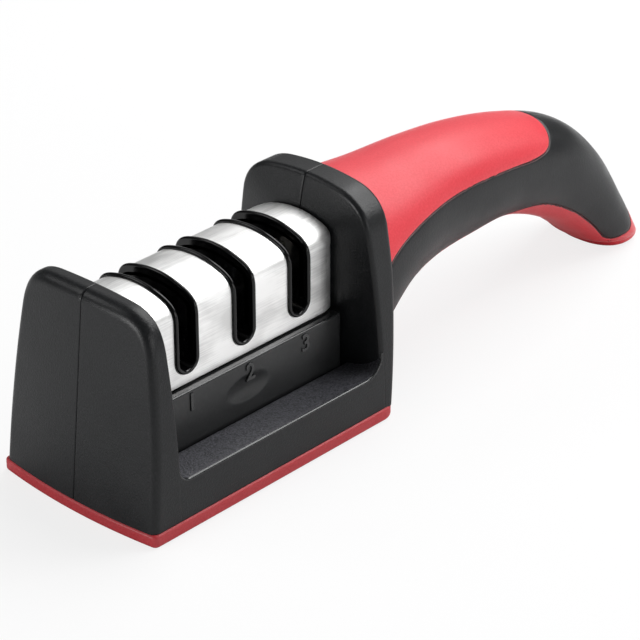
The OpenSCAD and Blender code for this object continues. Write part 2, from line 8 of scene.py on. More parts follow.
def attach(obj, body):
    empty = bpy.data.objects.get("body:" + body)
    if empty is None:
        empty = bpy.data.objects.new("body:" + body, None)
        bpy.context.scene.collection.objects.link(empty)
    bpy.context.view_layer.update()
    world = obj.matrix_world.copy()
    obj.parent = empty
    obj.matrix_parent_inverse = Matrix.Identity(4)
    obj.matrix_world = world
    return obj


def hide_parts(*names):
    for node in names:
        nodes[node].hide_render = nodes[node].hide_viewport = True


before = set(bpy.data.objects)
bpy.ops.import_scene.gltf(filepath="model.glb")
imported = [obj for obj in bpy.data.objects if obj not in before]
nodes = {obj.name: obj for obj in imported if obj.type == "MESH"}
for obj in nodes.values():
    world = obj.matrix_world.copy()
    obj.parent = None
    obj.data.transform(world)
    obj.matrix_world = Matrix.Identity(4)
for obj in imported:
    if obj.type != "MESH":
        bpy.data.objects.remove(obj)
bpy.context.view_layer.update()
scene = bpy.context.scene
print("frame loaded,", len(nodes), "nodes")

# Shapes below are in millimetres, and x runs from the front corners of the base to the tail
middleX = 95.7


def toMetres(points):  # the frame's origin is under the middle of the sharpener
    return (np.asarray(points, float) - [middleX, 0, 0]) / 1000


def span(start, end, count):
    return np.linspace(start, end, count)


def through(points, share):  # a uniform Catmull-Rom curve through the points, with its ends held
    points = np.asarray(points, float)
    last = len(points) - 1
    place = np.clip(np.asarray(share, float) * last, 0, last - 1e-9)
    index = place.astype(int)
    t = place - index
    a, b, c, d = (points[np.clip(index + k, 0, last)] for k in (-1, 0, 1, 2))
    if points.ndim > 1:
        t = t[..., None]
    return (2 * b + (c - a) * t + (2 * a - 5 * b + 4 * c - d) * t**2 + (3 * b - a - 3 * c + d) * t**3) / 2


def bezier(start, a, b, end, count):  # a cubic Bezier curve from start to end, without the start itself
    t = span(0, 1, count + 1)[1:, None]
    return (1 - t)**3 * start + 3 * (1 - t)**2 * t * a + 3 * (1 - t) * t**2 * b + t**3 * end


def roundDrop(distance, radius):  # how far a rounded edge falls away at a distance from it: a quarter circle
    inside = radius - np.clip(distance, 0, radius)
    return radius - np.sqrt(np.maximum(radius**2 - inside**2, 0))


def nearest(points, line):  # distance from each point to the closest point of a line given by many points
    flat = points.reshape(-1, 3)
    found = np.empty(len(flat))
    for start in range(0, len(flat), 4000):
        part = flat[start:start + 4000]
        found[start:start + 4000] = np.sqrt(((part[:, None] - line[None]) ** 2).sum(-1).min(1))
    return found.reshape(points.shape[:-1])


def gridFaces(rows, cols, wrap=False, keep=None):  # quads between neighbouring rows and columns of a grid
    i, j = np.meshgrid(np.arange(rows - 1), np.arange(cols if wrap else cols - 1), indexing="ij")
    k = (j + 1) % cols
    quads = np.stack([i * cols + j, i * cols + k, (i + 1) * cols + k, (i + 1) * cols + j], -1)
    return quads[keep] if keep is not None else quads.reshape(-1, 4)


def patch(grid, point, towards=False, wrap=False, keep=None):
    # A grid of points with its faces, turned so that they look away from the point, or towards it
    quads = gridFaces(*grid.shape[:2], wrap, keep)
    corners = grid.reshape(-1, 3)[quads]
    normal = np.cross(corners[:, 2] - corners[:, 0], corners[:, 3] - corners[:, 1])
    facing = ((corners.mean(1) - point) * normal).sum()
    return grid.reshape(-1, 3), quads[:, ::-1] if (facing < 0) != towards else quads


def keepOpenEdgesSharp(mesh):  # edges with one face only, which become the corners of the wall
    ofLoop, sharp = np.empty(len(mesh.loops), int), np.empty(len(mesh.edges), bool)
    mesh.loops.foreach_get("edge_index", ofLoop)
    flags = mesh.attributes["sharp_edge"].data
    flags.foreach_get("value", sharp)
    flags.foreach_set("value", sharp | (np.bincount(ofLoop, minlength=len(sharp)) == 1))


def makePiece(name, patches, wall=0, sharp=40, mirror=False):
    # Joins patches to one mesh, mirrored across the middle plane if asked. A skin gets its wall inwards. A
    # patch may carry the number of a material of the piece, or one number for each face.
    points, faces, paints, count = [], [], [], 0
    for grid, quads, *paint in patches:
        points.append(grid)
        faces.append(quads + count)
        paints.append(np.broadcast_to(paint[0] if paint else 0, len(quads)))
        count += len(grid)
    points, faces = np.concatenate(points), np.concatenate(faces)
    if mirror:
        points, faces = points * [1, -1, 1], faces[:, ::-1]
    mesh = bpy.data.meshes.new(name)
    mesh.from_pydata(toMetres(points).tolist(), [], faces.tolist())
    mesh.polygons.foreach_set("material_index", np.concatenate(paints))
    shape = bmesh.new()
    shape.from_mesh(mesh)
    bmesh.ops.remove_doubles(shape, verts=shape.verts, dist=2e-6)
    bmesh.ops.dissolve_degenerate(shape, edges=shape.edges, dist=1e-6)
    shape.to_mesh(mesh)
    shape.free()
    mesh.shade_smooth()
    mesh.set_sharp_from_angle(angle=math.radians(sharp))
    keepOpenEdgesSharp(mesh)
    piece = bpy.data.objects.new(name, mesh)
    scene.collection.objects.link(piece)
    if wall:
        solid = piece.modifiers.new("wall", "SOLIDIFY")
        solid.thickness, solid.offset = wall / 1000, -1
    return piece


# Colours are sRGB hex codes, turned to linear light
def linear(code):
    parts = np.array([int(code[i:i + 2], 16) for i in (1, 3, 5)]) / 255
    return tuple(np.where(parts <= 0.04045, parts / 12.92, ((parts + 0.055) / 1.055) ** 2.4)) + (1.0,)


def addNode(tree, kind, values={}, links={}, **settings):  # a node with its settings, socket values and links
    node = tree.nodes.new("ShaderNode" + kind)
    for key, value in settings.items():
        setattr(node, key, value)
    for key, value in values.items():
        node.inputs[key].default_value = value
    for key, source in links.items():
        tree.links.new(source, node.inputs[key])
    return node


def newMaterial(name, values):
    material = bpy.data.materials.new(name)
    material.use_nodes = True
    tree = material.node_tree
    tree.nodes.clear()
    shader = addNode(tree, "BsdfPrincipled", values)
    addNode(tree, "OutputMaterial", links={"Surface": shader.outputs[0]})
    return material, tree, shader


def noiseOf(tree, grain, detail=2, stretch=(1, 1, 1)):  # noise whose grains measure that many millimetres
    place = addNode(tree, "TexCoord").outputs["Object"]
    place = addNode(tree, "Mapping", {"Scale": [1000 / grain * s for s in stretch]}, {"Vector": place})
    return addNode(tree, "TexNoise", {"Scale": 1, "Detail": detail}, {"Vector": place.outputs[0]}).outputs[0]


def rampOf(tree, source, low, high, first, last):  # turns low..high of a value into first..last
    return addNode(tree, "MapRange", {"From Min": low, "From Max": high, "To Min": first, "To Max": last},
                   {"Value": source}).outputs[0]


def blendOf(tree, share, first, last):  # mixes two colours, each a hex code
    return addNode(tree, "Mix", {6: linear(first), 7: linear(last)}, {0: share}, data_type="RGBA").outputs[2]


# Moulded plastics and rubbers share where the grain's two shades part, and the size in millimetres of the
# patches over which their roughness wanders
mould = {"detail": 3, "shadeFrom": 0.35, "shadeTo": 0.65, "patchSize": 9, "patchFrom": 0.3, "patchTo": 0.7}


def moulded(name, dark, light, grain, depth, roughness, spread=0.06, **more):
    # Two near shades in a fine grain, the same grain as bump, and roughness that wanders a little. The
    # grain's size and depth are in millimetres
    values = {"Specular IOR Level": 0.5, "IOR": 1.5}
    values.update(more)
    material, tree, shader = newMaterial(name, values)
    fine = noiseOf(tree, grain, mould["detail"])
    shade = rampOf(tree, fine, mould["shadeFrom"], mould["shadeTo"], 0, 1)
    tree.links.new(blendOf(tree, shade, dark, light), shader.inputs["Base Color"])
    wide = noiseOf(tree, mould["patchSize"], mould["detail"])
    rough = rampOf(tree, wide, mould["patchFrom"], mould["patchTo"], roughness - spread, roughness + spread)
    tree.links.new(rough, shader.inputs["Roughness"])
    bump = addNode(tree, "Bump", {"Strength": 1, "Distance": depth / 1000}, {"Height": fine})
    tree.links.new(bump.outputs[0], shader.inputs["Normal"])
    return material


# ABS from a spark-eroded mould: charcoal, half matt, with a fine even grain
absBody = moulded("spark eroded ABS", "#101112", "#18191b", 0.42, 0.05, 0.36,
                  **{"Specular IOR Level": 0.28})
# The ledges have a coarser grain, which shows as light specks
absLedge = moulded("coarse grained ABS", "#1d1e21", "#4a4a50", 0.36, 0.1, 0.4)
# Edges and raised figures are rubbed smooth in the mould, and catch the light as thin lines
absEdge = moulded("rubbed ABS edge", "#1c1d1e", "#222324", 0.5, 0.004, 0.2, 0.03)
# The cartridge frame comes from a smoother mould
absFrame = moulded("satin ABS", "#141516", "#1a1b1c", 0.5, 0.02, 0.36)
# Lips and slot walls come from a polished mould, and mirror the light in thin lines
absGloss = moulded("polished ABS", "#050506", "#09090a", 1.2, 0.004, 0.14, 0.03,
                   **{"Specular IOR Level": 0.32})
# Inside parts are plain grey ABS
absInner = moulded("plain grey ABS", "#26272b", "#2c2d32", 0.8, 0.03, 0.5)
# Soft-touch thermoplastic rubber, coral on top and deeper red below: silky, with a weak sheen
rubberTop = moulded("coral soft touch rubber", "#cb303a", "#d33a44", 0.5, 0.02, 0.42,
                    **{"Specular IOR Level": 0.4, "Sheen Weight": 0.1, "Sheen Roughness": 0.4})
rubberUnder = moulded("red soft touch rubber", "#bc202a", "#c62a34", 0.5, 0.02, 0.44,
                      **{"Sheen Weight": 0.1, "Sheen Roughness": 0.4})
# The grips' edges dive into a narrow groove, where the rubber gets a dark red colour as painted shade
grooveShadeRubber = moulded("rubber with painted groove shade", "#35090d", "#400c11", 0.5, 0.01, 0.5)
# The base pad is a firmer, matt rubber of a dull red
rubberPad = moulded("red base rubber", "#a02229", "#ac2c34", 0.5, 0.03, 0.5)
# Carbide is ground and mirrors softly, diamond grit on steel sparkles grey, and fired ceramic is a warm white
carbide = moulded("ground tungsten carbide", "#6c6f74", "#7d8085", 0.3, 0.01, 0.3, Metallic=1.0)
diamond = moulded("diamond coated steel", "#4c4d50", "#77787c", 0.35, 0.05, 0.45, Metallic=0.8)
ceramic = moulded("fired ceramic", "#ebe6da", "#f1ede3", 0.6, 0.01, 0.4)
# Screws are plated with zinc, a pale grey with a soft shine
screwSteel = moulded("zinc plated steel", "#9fa1a4", "#b2b4b7", 0.6, 0.01, 0.32, Metallic=1.0)

# Widths and depth in millimetres, and how the pattern is stretched along the sharpener
brush = {"line": 0.25, "lineStretch": (0.02, 1, 1), "lineShare": 0.35,
         "cloud": 7, "cloudStretch": (0.6, 1, 1), "cloudShare": 0.65, "toneFrom": 0.4, "toneTo": 0.58,
         "dark": "#d9d9d8", "light": "#fbfbfa", "smooth": 0.36, "rough": 0.5, "depth": 0.006}


def brushed(name):
    # Stainless sheet brushed along the sharpener: long fine lines that vary tone, roughness and bump, over
    # clouds of tone a few millimetres wide
    material, tree, shader = newMaterial(name, {"Metallic": 1.0})
    lines = noiseOf(tree, brush["line"], 4, brush["lineStretch"])
    clouds = noiseOf(tree, brush["cloud"], 3, brush["cloudStretch"])
    tone = addNode(tree, "Math", {1: brush["cloudShare"]}, {0: clouds}, operation="MULTIPLY").outputs[0]
    tone = addNode(tree, "Math", {1: brush["lineShare"]}, {0: lines, 2: tone}, operation="MULTIPLY_ADD")
    tone = rampOf(tree, tone.outputs[0], brush["toneFrom"], brush["toneTo"], 0, 1)
    tree.links.new(blendOf(tree, tone, brush["dark"], brush["light"]), shader.inputs["Base Color"])
    tree.links.new(rampOf(tree, lines, 0.3, 0.7, brush["smooth"], brush["rough"]), shader.inputs["Roughness"])
    bump = addNode(tree, "Bump", {"Strength": 1, "Distance": brush["depth"] / 1000}, {"Height": lines})
    tree.links.new(bump.outputs[0], shader.inputs["Normal"])
    return material


coverSteel = brushed("brushed stainless sheet")
print("materials made")


def finishPiece(piece, materials, body, slotName, *replaced):  # paints a piece and says what it belongs to
    for material in materials:
        piece.data.materials.append(material)
    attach(piece, body)
    if replaced:
        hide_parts(*replaced)


# The camera stands where the photograph was taken from, found from the edges of the head
camera = {"lens": 153.3, "sensor": 36, "clip": (0.01, 20), "place": (-0.429383, -0.384035, 0.324517),
          "right": (0.6814469, -0.7318655, -0.0017245), "up": (0.3527281, 0.326362, 0.8769668),
          "back": (-0.6412589, -0.5982146, 0.4805479)}
cameraData = bpy.data.cameras.new("camera")
cameraData.lens, cameraData.sensor_width = camera["lens"], camera["sensor"]
cameraData.clip_start, cameraData.clip_end = camera["clip"]
cameraObject = bpy.data.objects.new("camera", cameraData)
scene.collection.objects.link(cameraObject)
axes = [(*camera[way], 0) for way in ("right", "up", "back")]
cameraObject.matrix_world = Matrix(axes + [(*camera["place"], 1)]).transposed()
scene.camera = cameraObject

# The head: two black cheeks with low walls and ledges between them, in two mirrored halves. The bay's skin
# runs on into the cheeks by the tuck
head = {"wall": 1.2, "padTop": 3.2, "overlap": 0.2, "halfWidth": 24, "draw": 3.5, "drawHeight": 43.2,
        "shoulderWidth": 9.5, "shoulderHeight": 9.8, "seamEdge": 0.35,
        "frontBow": 1.8, "frontLean": 5.7, "frontBack": 9,
        "rearFace": 70.7, "rearHalf": 20.1, "rearBow": 2.1, "tilt": 2.4, "tiltFrom": 44, "tiltHeight": 12,
        "rearBack": 80, "rearLean": 2.8, "leanHeight": 36,
        "bayEdge": 0.5, "apronTop": 12.75, "apronRadii": (3, 5), "tuck": 2.5, "tuckDepth": 0.15,
        "pocketHalf": 14.1, "pocketEdge": 0.4, "pocketFloor": 8}
# Edges are rounded with one radius at the side and one on top
frontCheek = {"height": 52.9, "crown": 0.3, "full": 0.62, "frontEdges": (1.6, 2.6), "backEdges": (0.5, 0.9)}
rearCheek = {"height": 56.3, "crown": 0.8, "full": 0.53, "frontEdges": (0.9, 1.1), "backEdges": (1.5, 1.1)}


def bowRadius(halfChord, rise):
    return (halfChord**2 + rise**2) / (2 * rise)


def sideOf(z):  # the sides draw in with the square of the height
    return head["halfWidth"] - head["draw"] * (z / head["drawHeight"]) ** 2


def frontFace(y, z):  # a face that leans back and bows forward at its middle, as an arc across
    r = bowRadius(head["halfWidth"], head["frontBow"])
    return -head["frontBow"] + head["frontLean"] * z / frontCheek["height"] + r - np.sqrt(r**2 - y**2)


def frontBack(y, z):  # the flat back of the front cheek
    return head["frontBack"] + 0 * y


def rearFace(y, z):  # bowed across, and leaning back over its top twelve millimetres
    r = bowRadius(head["rearHalf"], head["rearBow"])
    bow = r - np.sqrt(r**2 - y**2)
    lean = head["tilt"] * np.clip((z - head["tiltFrom"]) / head["tiltHeight"], 0, 1.1) ** 1.3
    return head["rearFace"] + np.hypot(bow, lean)


def rearBack(y, z):  # the back of the rear cheek leans in towards the floor
    return head["rearBack"] - head["rearLean"] * np.clip(1 - z / head["leanHeight"], 0, 1) + 0 * y


def cheekOutline(height, crown, full):
    # Half the front view, from the foot of the side over the shoulder to the seam: the side curve, a Bezier
    # shoulder that leaves it in line, and a top that falls with the square of the distance from the seam
    z1 = height - head["shoulderHeight"]
    z = span(head["padTop"] - head["overlap"], z1, 26)
    side = np.stack([sideOf(z), z], -1)
    slope = np.array([-2 * head["draw"] * z1 / head["drawHeight"] ** 2, 1])
    flatHalf = side[-1, 0] - head["shoulderWidth"]
    start, end = side[-1], np.array([flatHalf, height - crown])
    a = start + slope * full * head["shoulderHeight"]
    b = end + np.array([1, -2 * crown / flatHalf]) * full * head["shoulderWidth"]
    shoulder = bezier(start, a, b, end, 24)
    edge = head["seamEdge"] * (1 - np.cos(np.radians(span(90, 0, 7))))
    y = np.concatenate([span(end[0], head["seamEdge"], 13)[1:-1], edge])
    outline = np.concatenate([side, shoulder, np.stack([y, height - crown * (y / flatHalf) ** 2], -1)])
    tangent = np.gradient(outline, axis=0)
    tangent[-len(y):] = np.stack([0 * y - 1, 2 * crown * y / flatHalf**2], -1)
    tangent /= np.linalg.norm(tangent, axis=1)[:, None]
    return outline, np.stack([tangent[:, 1], -tangent[:, 0]], -1), len(side) + len(shoulder) // 2


def cheekPatches(cheek, frontSide, backSide):
    # A slab between two faces given as functions of y and z, with quarter-round edges. Each face is a Coons
    # patch inside its edge.
    outline, normal, middle = cheekOutline(cheek["height"], cheek["crown"], cheek["full"])
    cap = np.clip(normal[:, 1], 0, 1)[:, None]
    turn = np.radians(span(0, 90, 9))[:, None, None]
    sides = ((frontSide, 1, cheek["frontEdges"]), (backSide, -1, cheek["backEdges"]))
    strips = []
    for face, sign, (atSide, onTop) in sides:
        radius = atSide + (onTop - atSide) * cap
        inset = outline - normal * radius * (1 - np.sin(turn))
        x = face(inset[..., 0], inset[..., 1]) + sign * (radius * (1 - np.cos(turn)))[..., 0]
        out = np.stack([-sign * np.cos(turn)[..., 0] + 0 * x, normal[:, 0] * np.sin(turn)[..., 0],
                        normal[:, 1] * np.sin(turn)[..., 0]], -1)
        strip = np.concatenate([x[..., None], inset], -1)
        strips.append(strip - out * roundDrop(inset[..., :1], head["seamEdge"]))
    between = strips[0][-1] + (strips[1][-1] - strips[0][-1]) * span(0, 1, 9)[1:-1, None, None]
    skin = np.concatenate([strips[0], between, strips[1][::-1]])
    z = cheek["height"] / 2
    centre = np.array([(frontSide(0, z) + backSide(0, z)) / 2, 0, z])
    patches = [patch(skin, centre)]
    for (face, sign, _), strip in zip(sides, strips):
        ring = strip[0][:, 1:]
        side, top = ring[:middle + 1], ring[middle:][::-1]
        base = np.stack([side[0, 0] * top[:, 0] / top[-1, 0], np.full(len(top), side[0, 1])], -1)
        seam = np.stack([np.zeros(len(side)), side[0, 1] + (top[0, 1] - side[0, 1])
                         * (side[:, 1] - side[0, 1]) / (side[-1, 1] - side[0, 1])], -1)
        u = (top[:, 0] / top[-1, 0])[None, :, None]
        v = ((seam[:, 1] - seam[0, 1]) / (seam[-1, 1] - seam[0, 1]))[:, None, None]
        flat = ((1 - v) * base[None] + v * top[None] + (1 - u) * seam[:, None] + u * side[:, None]
                - (1 - u) * (1 - v) * base[0] - u * (1 - v) * base[-1]
                - (1 - u) * v * top[0] - u * v * top[-1])
        x = face(flat[..., 0], flat[..., 1]) + sign * roundDrop(flat[..., 0], head["seamEdge"])
        patches.append(patch(np.concatenate([x[..., None], flat], -1), centre))
    return patches


def bayPatches():
    # Between the cheeks: the low wall follows a U with round corners, its edge is a quarter round, and the
    # ledge runs level from it to the pocket and drops to the pocket's floor
    low, radii, edge = head["apronTop"], head["apronRadii"], head["bayEdge"]
    turn = np.radians(span(0, 90, 17))
    x1, x2 = head["frontBack"], float(rearFace(sideOf(low + radii[1]), low))
    arcs = [np.stack([r * (1 - np.cos(turn)), low + r * (1 - np.sin(turn))], -1) for r in radii]
    x = span(x1 + radii[0], x2 - radii[1], 21)[1:-1]
    middle = np.stack([x, np.full(len(x), float(low))], -1)
    line = np.concatenate([arcs[0] + [x1, 0], middle, arcs[1][::-1] * [-1, 1] + [x2, 0]])
    corner = np.stack([-np.cos(turn), -np.sin(turn)], -1)
    away = np.concatenate([corner, np.tile([0, -1.0], (len(x), 1)), corner[::-1] * [-1, 1]])
    ends = line[[0, -1]] + np.array([[-1, 0], [1, 0]]) * head["tuck"]
    line = np.concatenate([ends[:1], line, ends[1:]])
    away = np.concatenate([away[:1], away, away[-1:]])
    sunk = np.zeros(len(line))
    sunk[[0, -1]] = head["tuckDepth"]
    foot = head["padTop"] - head["overlap"]
    x, top = (line + away * edge).T
    wall, rounded = [], []
    for share in span(0, 1, 8)[:-1]:
        z = foot + (top - foot) * share
        wall.append(np.stack([x, sideOf(z) - sunk, z], -1))
    for angle in np.radians(span(0, 90, 8)):
        x, z = (line + away * edge * (1 - np.sin(angle))).T
        rounded.append(np.stack([x, sideOf(z) - edge * (1 - np.cos(angle)) - sunk, z], -1))
    ledge, start, end = rounded[-1:], rounded[-1][:, 1], head["pocketHalf"] + head["pocketEdge"]
    for share in span(0, 1, 12)[1:]:
        z = low + (line[:, 1] - low) * (1 - share)
        ledge.append(np.stack([line[:, 0], start + (end - start) * share, z], -1))
    pocket, rim = ledge[-1:], ledge[-1]
    for angle in np.radians([30, 60, 90]):
        pocket.append(rim - np.array([0, np.sin(angle), 1 - np.cos(angle)]) * head["pocketEdge"])
    wallFoot = pocket[-1] * [1, 1, 0] + [0, 0, head["pocketFloor"]]
    pocket += [wallFoot, wallFoot * [1, 0, 1]]
    return [np.stack(rows) for rows in (wall + rounded[:1], rounded, ledge, pocket)]


wallGrid, roundedGrid, ledgeGrid, pocketGrid = bayPatches()
inBay, overPocket = np.array([40, 10, 5]), np.array([40, 5, 30])
headPatches = cheekPatches(frontCheek, frontFace, frontBack) + cheekPatches(rearCheek, rearFace, rearBack)
headPatches += [patch(wallGrid, inBay), (*patch(roundedGrid, inBay), 2), (*patch(ledgeGrid, inBay), 1),
                patch(pocketGrid, overPocket, True)]

# The handle runs between a rail along its top and one along its underside. Shares of its length run from 0 at
# the head to 1 at the tail. At the heel the under grip turns towards the foot, which starts at the foot's
# line. From there the grip's last rows run on by heelLength, and those of the black band by about bandEnd
# shade is the width in millimetres of the strip along the grips' edges that gets painted shade
handle = {"rootX": 78.9, "length": 113.95, "height": 54, "width": 40.8, "fullness": 2.3, "footRadius": 1.8,
          "narrowAt": (0, 0.3, 1), "narrowBy": (0.2, 0.03, 0), "gripEdge": 0.5, "seamEdge": 0.2, "shade": 0.3,
          "proud": 0.05, "topGripEnd": 0.485, "underGripStart": 0.135, "heel": 0.8, "footLine": 0.864,
          "heelLength": 0.064, "bandEnd": 0.06, "footAngle": -28}
soleShare = handle["footRadius"] / handle["height"]
topRail = np.array([[0, 1], [0.153, 0.966], [0.301, 0.957], [0.452, 0.922], [0.598, 0.854], [0.738, 0.745],
                    [0.843, 0.55], [0.924, 0.287], [0.977, 0.1], [1, soleShare]])
lowRail = np.array([[-0.012, 0.2], [0.106, 0.368], [0.223, 0.417], [0.362, 0.43], [0.491, 0.43],
                    [0.603, 0.36], [0.706, 0.252], [0.787, 0.131], [0.83, 0.055], [0.855, soleShare]])
halfWidths = np.array([1, 0.843, 0.716, 0.657, 0.62, 0.605, 0.603, 0.603, 0.588, 0.53])


def superellipse(v):  # a sine or cosine to the power that fills out the section's corners
    return np.sign(v) * np.abs(v) ** (2 / handle["fullness"])


def handleSkin(share, angle, depth=0):
    # A point at a share of the length and an angle round the section, moved in by a depth: a superellipse
    # between the rails that narrows towards its top near the head
    share = np.broadcast_to(np.asarray(share, float), np.broadcast(share, angle).shape)
    scale, origin = [handle["length"], handle["height"]], [handle["rootX"], 0]
    top, low = through(topRail, share) * scale + origin, through(lowRail, share) * scale + origin
    half = through(halfWidths, share) * handle["width"] / 2
    middle, arm = (top + low) / 2, (top - low) / 2
    shrink = 1 - depth / np.linalg.norm(arm, axis=-1)
    up, side = superellipse(np.sin(np.radians(angle))), superellipse(np.cos(np.radians(angle)))
    narrow = np.interp(share, handle["narrowAt"], handle["narrowBy"])
    return np.stack([middle[..., 0] + arm[..., 0] * shrink * up, side * (half - depth) * (1 - narrow * up),
                     middle[..., 1] + arm[..., 1] * shrink * up], -1)


# Edges of the grips: angle round the section against the share of the length
topEdge = np.array([[0, 4], [0.025, 6], [0.07, 10], [0.14, 13], [0.25, 15.3], [0.39, 16.5], [0.435, 18.5],
                    [0.46, 23], [0.472, 28], [0.478, 33.5], [0.4815, 41], [0.4835, 52], [0.4845, 68],
                    [handle["topGripEnd"], 90]])
underEdge = np.array([[handle["underGripStart"], -90], [0.1355, -60], [0.1365, -45], [0.139, -36],
                      [0.145, -33.5], [0.2, -37.5], [0.26, -42.5], [0.32, -45.5], [0.38, -45.5],
                      [0.41, -47.5], [0.44, -49.5], [0.465, -47], [0.495, -39.5], [0.53, -34.5], [0.6, -34],
                      [0.7, -35], [0.745, -35.2], [handle["heel"], -37], [0.835, -37.5]])
heelEdge = np.concatenate([underEdge[-2:], [[0.852, -36], [0.86, -33],
                                            [handle["footLine"], handle["footAngle"]]]])
# The foot's edge, the other way round: share of the length against the angle
footEdge = np.array([[handle["footAngle"], handle["footLine"]], [-20, 0.869], [-9, 0.871], [5, 0.874],
                     [14, 0.869], [22.5, 0.86], [27, 0.85], [40, 0.835], [60, 0.822], [90, 0.815]])


def edgeCurve(points):
    curve = through(points, span(0, 1, 500))
    curve[:, 0] = np.maximum.accumulate(curve[:, 0])
    return curve


topCurve, underCurve = edgeCurve(topEdge), edgeCurve(underEdge)
footCurve = through(footEdge, span(0, 1, 200))


def topAngle(share):
    return np.interp(share, topCurve[:, 0], topCurve[:, 1])


def underAngle(share):
    return np.interp(share, underCurve[:, 0], underCurve[:, 1])


def footShare(angle):  # where the foot begins at an angle from -90 to 270, the same on both sides
    return np.interp(np.where(angle > 90, 180 - angle, angle), footCurve[:, 0], footCurve[:, 1])


def acrossRow(share, first, last, edge1, edge2, count):
    # Angles from first to last for each row, packed inside the rounded edges, whose widths are in millimetres
    first, last = np.broadcast_to(first, share.shape), np.broadcast_to(last, share.shape)
    sample = handleSkin(share[:, None], first[:, None] + (last - first)[:, None] * span(0, 1, 40)[None])
    long = np.linalg.norm(np.diff(sample, axis=1), axis=-1).sum(1)
    near = (1 - np.cos(np.radians(span(0, 90, 7))))[None]
    w1, w2 = (np.minimum(e / np.maximum(long, 1e-6), 0.45)[:, None] for e in (edge1, edge2))
    inner = w1 + (1 - w1 - w2) * span(0, 1, count)[None, 1:-1]
    shares = np.concatenate([w1 * near, inner, (1 - w2 * near)[:, ::-1]], 1)
    return first[:, None] + (last - first)[:, None] * shares


def skinPatch(share, angle, lines, proud, point):
    # A patch of the handle's skin that rounds off at the lines, each with its radius. Close to the grips'
    # edges it gets painted shade, the fourth material of the housing or the second of a grip
    flat = handleSkin(share, angle)
    depth, paintedShade = -proud + 0 * angle, np.zeros((angle.shape[0] - 1, angle.shape[1] - 1), bool)
    middle = (flat[:-1, :-1] + flat[1:, 1:]) / 2
    for line, radius in lines:
        depth = np.maximum(depth, -proud + roundDrop(nearest(flat, line), radius))
        if radius == gripEdge:
            paintedShade |= nearest(middle, line) < handle["shade"]
    return (*patch(handleSkin(share, angle, depth), point), paintedShade.ravel() * (3 if proud == 0 else 1))


def bothSides(line):
    return np.concatenate([line, line * [1, -1, 1]])


def rowsTo(end, *shares):  # the shares in order, each once, as far as the end
    rows = np.unique(np.round(np.concatenate(shares), 5))
    return rows[rows <= end]


gripEdge, seamEdge, heel = handle["gripEdge"], handle["seamEdge"], handle["heel"]
footStart = [handle["footLine"], handle["footAngle"]]
topLine = handleSkin(topCurve[:, 0], topCurve[:, 1])
corner = span(0, 1, 30)[:, None] * (footStart - underCurve[-1]) + underCurve[-1]
underLine = handleSkin(*np.concatenate([underCurve, corner]).T)
footLine = handleSkin(footCurve[:, 1], footCurve[:, 0])
seamLines = np.concatenate([handleSkin(span(handle["topGripEnd"], footEdge[-1, 1], 400), 90),
                            handleSkin(span(0, handle["underGripStart"], 300), -90)])
# Rows from the heel to the foot's line, packed towards its rounded edge
endRows = np.concatenate([span(0, 0.95, 14), 1 - 0.05 * (1 - np.cos(np.radians(span(75, 0, 6))))])
endShares = heel + handle["heelLength"] * endRows
endUnder = np.interp(endShares, heelEdge[:, 0], heelEdge[:, 1])
# Points inside the handle, from which its patches look away
inHandle, inTail = np.array([130, 0, 36.0]), np.array([175, 0, 20.0])
inHeel, inFoot = np.array([170, 0, 12.0]), np.array([183, 0, 10.0])


def bandPatches():
    # The black band of one half, from the edge of the top grip or the seam down to the edge of the under
    # grip, and its end from the heel to the foot's line
    rows = rowsTo(heel, span(0, heel, 90), topCurve[::10, 0], underCurve[::10, 0])
    edge1 = np.where(rows < handle["topGripEnd"], gripEdge, seamEdge)
    edge2 = np.where(rows > handle["underGripStart"], gripEdge, seamEdge)
    angle = acrossRow(rows, topAngle(rows), underAngle(rows), edge1, edge2, 40)
    lines = [(topLine, gripEdge), (underLine, gripEdge), (footLine, gripEdge), (seamLines, seamEdge)]
    main = skinPatch(rows[:, None], angle, lines, 0, inHandle)
    angle = acrossRow(heel + handle["bandEnd"] * endRows, 90, endUnder, seamEdge, gripEdge, 40)
    share = heel + endRows[:, None] * (footShare(angle) - heel)
    return [main, skinPatch(share, angle, lines, 0, inTail)]


def topGripPatches():
    # Rows across the handle's top, each from the grip's edge on one side to its edge on the other
    rows = rowsTo(handle["topGripEnd"], span(0, handle["topGripEnd"], 70), topCurve[::8, 0])
    edge = topAngle(rows)
    angle = acrossRow(rows, edge, 180 - edge, gripEdge, gripEdge, 60)
    return [skinPatch(rows[:, None], angle, [(bothSides(topLine), gripEdge)], handle["proud"], inHandle)]


